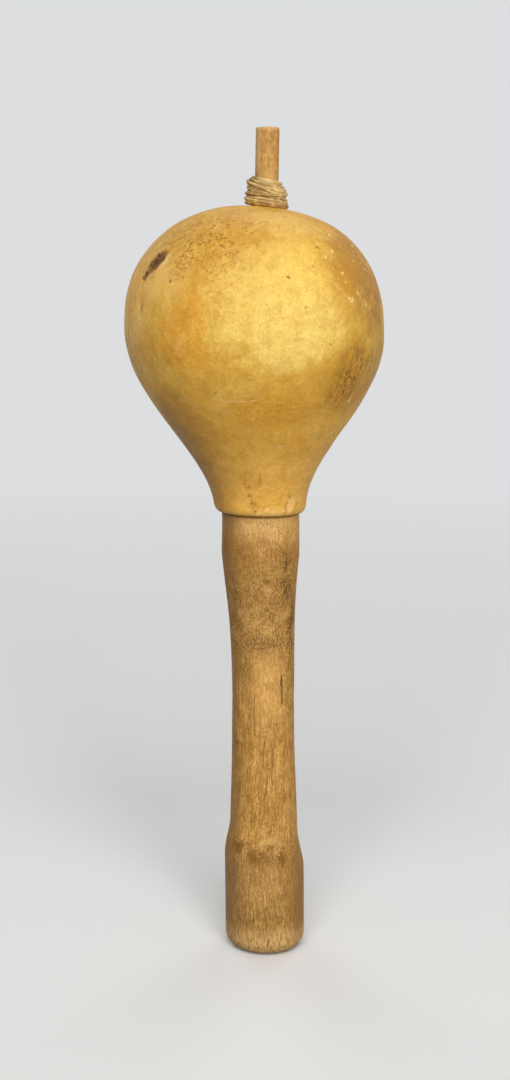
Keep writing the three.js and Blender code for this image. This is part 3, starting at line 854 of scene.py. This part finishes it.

    # The neck: its chip, worn rim, pits and scratches, and the dark band round the rim's underside
    bare = skin.mix(span(grain, 0.4, 0.6), (0.92, 0.52, 0.14), (1.0, 0.64, 0.23))
    lay(skin.spot(RIM_CHIP, 4.8, 8, 0.4, -10, torn), bare, 0.9)
    for line in ((33, 69.8, 5, 1.7, 6), (36, 74, 4, 1.7, -35), (48, 70, 5, 1.7, 32)):
        lay(scratch(*line), bark, 0.65)
    worn_edge = span(skin.axis("Z", torn), 70.6 * MM, 69.2 * MM)
    worn_edge = both(worn_edge, stain(14, 69, 22, 9, where=None))
    lay(sift(worn_edge, grain, 0.42, 0.56), pale, 0.5)
    lay(scratch(6, 71, 14, 1.1, 84), brown, 0.3)
    for pit in NECK_PITS:
        lay(skin.spot(pit, 4, 4.4, 0.9, where=torn), (0.62, 0.29, 0.03), 0.45)
        lay(skin.spot(pit, 1.1, 1.5, 0.7, where=torn), umber, 0.7)
    for line in ((-14, 79.5, 8, 1.1, 3), (-9, 73.6, 5, 1.1, -12), (-7, 71, 4, 1.1, 25), (1, 80, 6, 1.1, 2)):
        lay(scratch(*line), bark, 0.6)
    speck(rust, 0.5, -16, 79.5, 2.4, 9)
    speck(rust, 0.5, 1.5, 80, 2.6, 6)
    speck(pale, 0.5, 15, 92.5, 3.4, 2.2, 0.8)
    lay(sift(stain(6, 85, 32, 18), runs, 0.44, 0.34), pale, 0.4)
    speck(umber, 0.8, -6, 69, 1.8, 1.8, 0.8)
    # Dark band round the rim's underside: crevice dirt and painted shade under the rim
    lay(span(height, RIM_Z + 1.1 * MM, RIM_Z + 0.3 * MM), umber, 0.8)

    satin = skin.total(0.42, both(grain, 0.16), both(crust, 0.35))
    lumps = skin.bump(patches, 0.35)
    leathery = skin.bump(skin.total(grain, both(mottling, -0.5)), 0.14, lumps)
    worn = skin.bump(skin.total(grit, both(freckles, -1.0)), 0.06, leathery)
    crusted = skin.bump(both(crust, skin.noise(0.9, detail=4, rough=0.7)), 0.6, worn)
    return skin.finish(satin, crusted, specular=0.24)


def gourd_pith():
    """The gourd's inner face: dry pale flesh with loose fibres."""
    pith = Surface("gourd_pith")
    flesh = pith.noise(5, detail=5, rough=0.7)
    fibres = pith.noise(1.2, detail=4, warp=2.5)
    pith.tone = pith.mix(pith.span(flesh, 0.35, 0.65), (0.42, 0.29, 0.14), (0.62, 0.47, 0.27))
    pith.lay(pith.span(fibres, 0.55, 0.7), (0.74, 0.62, 0.42), 0.6)
    rough = pith.total(0.75, pith.both(flesh, 0.2))
    return pith.finish(rough, pith.bump(fibres, 0.25, pith.bump(flesh, 0.6)))


# Wood

def grained(name, lean):
    """A wood surface, with a call for its coordinates shortened along the grain by a factor."""
    wood = Surface(name)
    turn = Matrix.Rotation(-lean, 3, "Y")

    def along_grain(factor):
        return wood.stretched((1, 1, factor), turn)

    return wood, along_grain


def handle_wood():
    """Carved hardwood: upright fibres, growth lines, grime above the hand, wear, cracks and pores, with
    painted shade down its left side and, with dirt, just under the rim.
    """
    wood, along_grain = grained("handle_wood", LEAN_ANGLE)
    lay, sift, both, span, total = wood.lay, wood.sift, wood.both, wood.span, wood.total
    height = wood.axis("Z")
    uneven = wood.ragged(8, 3)
    torn = wood.ragged(2.2, 0.25)
    fibres = wood.noise(0.4, detail=4, rough=0.65, where=along_grain(10))
    ticks = wood.noise(0.5, detail=2, where=along_grain(5))
    streaks = wood.noise(2.2, detail=6, rough=0.66, warp=0.25, where=along_grain(9))
    broad = wood.noise(12, detail=6, rough=0.6, where=along_grain(2))
    speckle = wood.noise(0.5, detail=3, rough=0.6, where=along_grain(1.8))
    blotch = wood.noise(4.2, detail=7, rough=0.68, where=along_grain(1.3))
    chatter = wood.noise(1.3, detail=4, where=along_grain(0.2))
    rightward, uneven_height = wood.axis("X", uneven), wood.axis("Z", uneven)
    stain, crack = marks(wood, on_handle, uneven, torn)

    def past(low, high, value=height):
        return span(value, low * MM, high * MM)

    light, mid, deep = (0.68, 0.385, 0.108), (0.53, 0.285, 0.072), (0.26, 0.122, 0.027)
    pale, grime, soot = (0.76, 0.47, 0.16), (0.19, 0.088, 0.018), (0.11, 0.046, 0.008)

    # Broad colours, then the grain
    wood.tone = wood.mix(span(streaks, 0.34, 0.64), mid, light)
    lay(span(broad, 0.45, 0.68), mid, 0.45)
    lay(past(-46, -57), (0.50, 0.29, 0.095), 0.65)
    lay(past(42, 54), (0.46, 0.24, 0.064), 0.6)
    # Paler band under the rim: paler wood there, and painted light that lifts the rim's shadow
    lay(past(53, 66, uneven_height), (0.92, 0.56, 0.20), 0.85)
    lay(stain(13, 6, 19, 36), (0.80, 0.45, 0.135), 0.6)
    lay(stain(-47, -65, 7, 28), (0.30, 0.15, 0.07), 0.55)
    lay(stain(58, -62.8, 8, 16), (0.56, 0.23, 0.04), 0.6)
    wood.shade(blotch, (0.82, 0.77, 0.67), (1.10, 1.11, 1.14))
    wood.shade(fibres, (0.72, 0.66, 0.54), (1.14, 1.16, 1.20))
    wood.shade(speckle, (0.76, 0.71, 0.61), (1.11, 1.13, 1.17))
    lay(past(55, 66), (0.70, 0.405, 0.135), 0.5)
    pores = sift(span(wood.cells(0.8, where=along_grain(6)), 0.22, 0.1), blotch, 0.44, 0.58)
    lay(pores, soot, 0.5)
    # Painted shade: the handle's left side darkened
    lay(past(-3, -12, rightward), deep, 0.62)
    # Darker on the right of the flare and pommel
    lay(both(past(10, 17, rightward), past(-46, -56)), deep, 0.5)
    lay(total(stain(-52, 34, 12, 34), stain(64, -70, 10, 44)), deep, 0.6)

    # Grime above the hand, with its tide line
    tide = wood.axis("Z", wood.ragged(4, 2))
    grimy = both(past(54, 40, uneven_height), past(12, 25, tide))
    lay(grimy, (0.50, 0.28, 0.08), 0.4)
    dusty = sift(grimy, blotch, 0.34, 0.6)
    lay(sift(grimy, blotch, 0.44, 0.58), deep, 0.4)
    lay(sift(grimy, blotch, 0.48, 0.36), pale, 0.35)
    lay(sift(dusty, speckle, 0.5, 0.42), grime, 0.75)
    lay(sift(grimy, speckle, 0.5, 0.66), (0.66, 0.38, 0.13), 0.4)
    tide_line = both(past(19.8, 21, tide), past(26, 21, tide), stain(8, 22, 26, 16))
    lay(sift(tide_line, speckle, 0.62, 0.42), grime, 0.75)
    lay(both(span(chatter, 0.48, 0.66), past(22, 38)), deep, 0.4)
    beside = total(stain(-38, 16, 12, 30, 0.8), stain(58, 10, 9, 44, 0.8))
    lay(sift(beside, speckle, 0.64, 0.4), grime, 0.5)

    # The rubbed oval and smudges
    lay(stain(13, 6, 18, 31, 0.4, where=wood.ragged(4, 1.1)), (0.70, 0.385, 0.112), 0.3)
    smudges = total(stain(38.7, 50.9, 5, 12), stain(47, 40.7, 5.5, 13), stain(60, 30, 4.5, 28))
    lay(smudges, grime, 0.45)
    lay(sift(smudges, speckle, 0.62, 0.46), soot, 0.85)
    lay(stain(7.9, 44.2, 3.6, 3.8, where=torn), grime, 0.85)
    lay(stain(-52.7, -14.6, 3.6, 2.4, where=torn), soot, 0.7)

    # Dirt on the flare and the pommel
    blots = total(stain(-10, -54, 13, 12, 0.95), stain(33, -54, 10, 12, 0.95), stain(-48, -52, 8, 10, 0.95))
    flare_dirt = total(both(stain(2, -54, 40, 11, 0.95), 0.45), blots)
    flare_dirt = sift(flare_dirt, blotch, 0.64, 0.46)
    lay(flare_dirt, (0.28, 0.125, 0.02), 0.85)
    lay(sift(flare_dirt, speckle, 0.56, 0.44), grime, 0.8)
    lay(stain(8, -49, 9, 6, 0.8), pale, 0.4)
    lay(sift(stain(3, -77.5, 44, 18, 0.8), ticks, 0.46, 0.64), grime, 0.7)
    bottom = past(-80, -86, uneven_height)
    lay(bottom, (0.76, 0.48, 0.19), 0.6)
    lay(sift(bottom, ticks, 0.5, 0.58), deep, 0.75)
    lay(past(-89.5, -92), grime, 0.5)

    # Cracks and growth lines, then the dark line under the rim
    split = total(crack(38, 4.4, 10.5, 0.8), crack(36.5, 8.6, 5, 0.6, 4))
    growth = total(crack(0.5, -17, 13, 0.6, 4, 0.7), crack(5.5, -29, 12, 0.6, 6, -0.8))
    growth = total(growth, crack(-16, -4, 18, 0.5, -2, 0.5), crack(17, -20, 20, 0.5, 3, 0.6))
    lay(growth, deep, 0.7)
    lay(split, soot, 0.85)
    # Dark line just under the rim: crevice dirt and painted shade under the rim's overhang
    lay(span(height, RIM_Z - 0.7 * MM, RIM_Z - 0.2 * MM), soot, 0.6)

    rubbed = total(0.5, both(streaks, 0.12), both(grimy, 0.1))
    cut = wood.bump(total(streaks, both(chatter, 0.4)), 0.12)
    fibre = wood.bump(total(fibres, both(pores, -0.8)), 0.08, cut)
    open_lines = total(split, both(growth, 0.4))
    cracked = wood.bump(both(open_lines, -1.0), 0.25, fibre)
    return wood.finish(rubbed, cracked, specular=0.18)


def dowel_wood():
    """A plain dowel: straight fine grain with short flecks, dry and rubbed at its sawn tip."""
    wood, along_grain = grained("dowel_wood", 0.0)
    height = wood.axis("Z")
    fibres = wood.noise(0.45, detail=3, rough=0.6, where=along_grain(9))
    streaks = wood.noise(1.8, detail=3, where=along_grain(9))
    flecks = wood.noise(0.7, detail=3, rough=0.65, where=along_grain(2.2))
    light, mid, deep = (0.62, 0.335, 0.095), (0.47, 0.23, 0.055), (0.28, 0.125, 0.03)
    wood.tone = wood.mix(wood.span(streaks, 0.36, 0.62), mid, light)
    wood.lay(wood.span(fibres, 0.5, 0.64), deep, 0.5)
    wood.lay(wood.span(flecks, 0.52, 0.64), deep, 0.5)
    wood.lay(wood.span(flecks, 0.44, 0.34), (0.80, 0.52, 0.22), 0.6)
    wood.lay(wood.span(height, 184 * MM, 179 * MM), (0.72, 0.43, 0.14), 0.5)
    wood.lay(wood.span(height, TIP_Z - 1.6 * MM, TIP_Z - 0.3 * MM), (0.74, 0.47, 0.2), 0.6)
    left_edge = wood.span(wood.axis("X"), -1.6 * MM, -3.0 * MM)
    wood.lay(wood.sift(left_edge, height, 180 * MM, 184 * MM), (0.84, 0.56, 0.25), 0.6)
    rough = wood.total(0.52, wood.both(flecks, 0.16))
    return wood.finish(rough, wood.bump(fibres, 0.08, wood.bump(streaks, 0.12)), specular=0.18)


# Cord and stones

def sinew_cord():
    """Twisted sinew: long fibres along the cord, paler where rubbed, and painted shade where it lies on
    itself.
    """
    sinew = Surface("sinew_cord")
    straight = sinew.add("ShaderNodeAttribute", attribute_name="straight_cord").outputs["Vector"]
    lengthways = sinew.stretched((16, 1, 1), where=straight)
    fibres = sinew.noise(0.22, detail=3, rough=0.6, where=lengthways)
    strands = sinew.noise(0.5, detail=2, where=lengthways)
    worn = sinew.noise(2.2, detail=3)
    drift = sinew.noise(0.5, detail=2, where=sinew.stretched((22, 9, 9), where=straight))
    sinew.tone = sinew.mix(sinew.span(strands, 0.36, 0.62), (0.40, 0.24, 0.072), (0.72, 0.48, 0.18))
    sinew.shade(drift, (0.62, 0.57, 0.48), (1.2, 1.22, 1.28), 0.36, 0.62)
    sinew.lay(sinew.span(fibres, 0.54, 0.66), (0.24, 0.125, 0.035), 0.6)
    sinew.lay(sinew.span(worn, 0.48, 0.66), (0.90, 0.66, 0.30), 0.5)
    # Painted shade: the cord darkened where it faces inward and between its turns
    inward_painted_shade = sinew.span(sinew.axis("Y", straight), 0.36 * MM, -0.06 * MM)
    sinew.lay(inward_painted_shade, (0.07, 0.032, 0.007), 0.92)
    rough = sinew.total(0.42, sinew.both(fibres, 0.2))
    return sinew.finish(rough, sinew.bump(fibres, 0.05, sinew.bump(strands, 0.1)))


def pebble_stone(name, ground, grain, vein):
    """A river stone: speckled ground with darker grains and a few pale veins."""
    stone = Surface(name)
    speckle = stone.noise(0.35, detail=4, rough=0.7)
    cloud = stone.noise(1.8, detail=3)
    lines = stone.noise(2.4, detail=2, warp=1.5)
    stone.tone = stone.mix(stone.span(cloud, 0.3, 0.7), grain, ground)
    stone.lay(stone.span(speckle, 0.52, 0.66), grain, 0.7)
    near_middle = stone.math("ABSOLUTE", stone.math("SUBTRACT", lines, 0.5))
    stone.lay(stone.span(near_middle, 0.03, 0.0), vein, 0.6)
    rough = stone.total(0.45, stone.both(speckle, 0.25))
    return stone.finish(rough, stone.bump(speckle, 0.06, stone.bump(cloud, 0.15)))


def pebbles():
    stones = [
        pebble_stone("stone_grey", (0.34, 0.33, 0.31), (0.14, 0.13, 0.12), (0.62, 0.6, 0.56)),
        pebble_stone("stone_brown", (0.32, 0.22, 0.14), (0.13, 0.08, 0.05), (0.55, 0.44, 0.32)),
        pebble_stone("stone_ochre", (0.48, 0.34, 0.17), (0.25, 0.15, 0.07), (0.7, 0.6, 0.42)),
        pebble_stone("stone_quartz", (0.66, 0.62, 0.56), (0.42, 0.38, 0.33), (0.84, 0.82, 0.78)),
    ]
    nodes = sorted(name for name in frame["nodes"] if name.startswith("pebble"))
    for index, node in enumerate(nodes):
        pebble(node, stones[index % len(stones)])


# Stage, lights and camera
SURROUND = (0.72, 0.73, 0.74)
AMBIENT = 0.17
FLOOR_SIDES = 96
FLOOR_RINGS = (0.3, 0.8, 1.6, 6.0)
FLOOR_FADE = (0.35, 1.3)  # between these distances the floor goes over into the surround
LAMP_AIM = Vector((0, 0, 90 * MM))
LAMP_DISTANCE = 3.0
LAMPS = [  # name, azimuth, elevation, size, share of the light, seen in reflections
    ("key", 0, 42, 2.2, 0.78, True),
    ("fill", 26, 6, 1.2, 0.36, True),
    ("back_left", -150, 30, 1.6, 0.15, False),
    ("back_right", 150, 30, 1.6, 0.15, False),
]


def seen_rays(nodes):
    """1 for rays that show the surroundings to the camera, directly, mirrored or through glass."""
    path = nodes.add("ShaderNodeLightPath").outputs
    seen = nodes.math("MAXIMUM", path["Is Camera Ray"], path["Is Glossy Ray"])
    return nodes.math("MAXIMUM", seen, path["Is Transmission Ray"])


def stage():
    """A round pale floor that goes over into the pale surround, well clear of the rattle."""
    rings = revolved([(radius, POMMEL_END_Z) for radius in FLOOR_RINGS], FLOOR_SIDES)
    vertices = np.concatenate([rings.reshape(-1, 3), [[0, 0, POMMEL_END_Z]]])
    faces = ring_faces(len(rings), FLOOR_SIDES)
    faces += [(len(vertices) - 1, c, (c + 1) % FLOOR_SIDES) for c in range(FLOOR_SIDES)]
    paper = Surface("floor_paper")
    seen = seen_rays(paper)
    paper_tone = paper.mix(paper.noise(400), (0.90, 0.90, 0.89), (0.94, 0.94, 0.93))
    paper.tone = paper.mix(seen, (0.3, 0.3, 0.3), paper_tone)
    material = paper.finish(0.9, paper.bump(paper.noise(2), 0.02))
    glow = paper.add("ShaderNodeEmission", {"Color": SURROUND})
    reach = paper.add("ShaderNodeVectorMath", {0: paper.where}, operation="LENGTH")
    far = paper.span(reach.outputs["Value"], *FLOOR_FADE)
    inputs = {"Fac": paper.both(seen, far), 1: paper.shader.outputs[0], 2: glow.outputs[0]}
    blend = paper.add("ShaderNodeMixShader", inputs)
    paper.fill(paper.tree.nodes["Material Output"], {"Surface": blend.outputs[0]})
    new_object("floor", vertices, faces, [material])


def lamp(name, azimuth, elevation, size, share, mirrored):
    """A soft square lamp. Its share is the light it gives a surface facing it, with 1 the full level."""
    data = bpy.data.lights.new(name, "AREA")
    data.size = size
    data.energy = share * math.pi ** 2 * LAMP_DISTANCE ** 2
    turn, rise = math.radians(azimuth), math.radians(elevation)
    level = math.cos(rise)
    away = Vector((math.sin(turn) * level, -math.cos(turn) * level, math.sin(rise)))
    piece = bpy.data.objects.new(name, data)
    piece.location = LAMP_AIM + away * LAMP_DISTANCE
    piece.rotation_euler = away.to_track_quat("Z", "Y").to_euler()
    piece.visible_glossy = mirrored
    bpy.context.scene.collection.objects.link(piece)


def lights():
    for row in LAMPS:
        lamp(*row)
    world = bpy.data.worlds.new("studio")
    world.use_nodes = True
    nodes = Nodes(world.node_tree)
    ambient = nodes.fill(nodes.tree.nodes["Background"], {"Color": (1, 1, 1), "Strength": AMBIENT})
    surround = nodes.add("ShaderNodeBackground", {"Color": SURROUND, "Strength": 1.0})
    inputs = {"Fac": seen_rays(nodes), 1: ambient.outputs[0], 2: surround.outputs[0]}
    blend = nodes.add("ShaderNodeMixShader", inputs)
    nodes.fill(nodes.tree.nodes["World Output"], {"Surface": blend.outputs[0]})
    bpy.context.scene.world = world


def camera():
    data = bpy.data.cameras.new("camera")
    data.sensor_width = SENSOR
    data.lens = SENSOR * PHOTO_FOCAL / PHOTO_HEIGHT
    data.clip_start = 0.05
    away = Vector((0, -math.cos(CAMERA_ELEVATION), math.sin(CAMERA_ELEVATION)))
    level_right = Vector((1, 0, 0))
    level_up = away.cross(level_right)
    up = level_up * math.cos(CAMERA_ROLL) - level_right * math.sin(CAMERA_ROLL)
    turn = Matrix((up.cross(away), up, away)).transposed().to_4x4()
    eye = bpy.data.objects.new("camera", data)
    eye.matrix_world = Matrix.Translation(CAMERA_AIM + away * CAMERA_DISTANCE) @ turn
    bpy.context.scene.collection.objects.link(eye)
    bpy.context.scene.camera = eye
    bpy.context.scene.view_settings.view_transform = "Standard"


camera()
lights()
stage()
gourd_shell(gourd_skin(), gourd_pith())
handle_body(handle_wood())
dowel(dowel_wood())
lashing(sinew_cord())
pebbles()
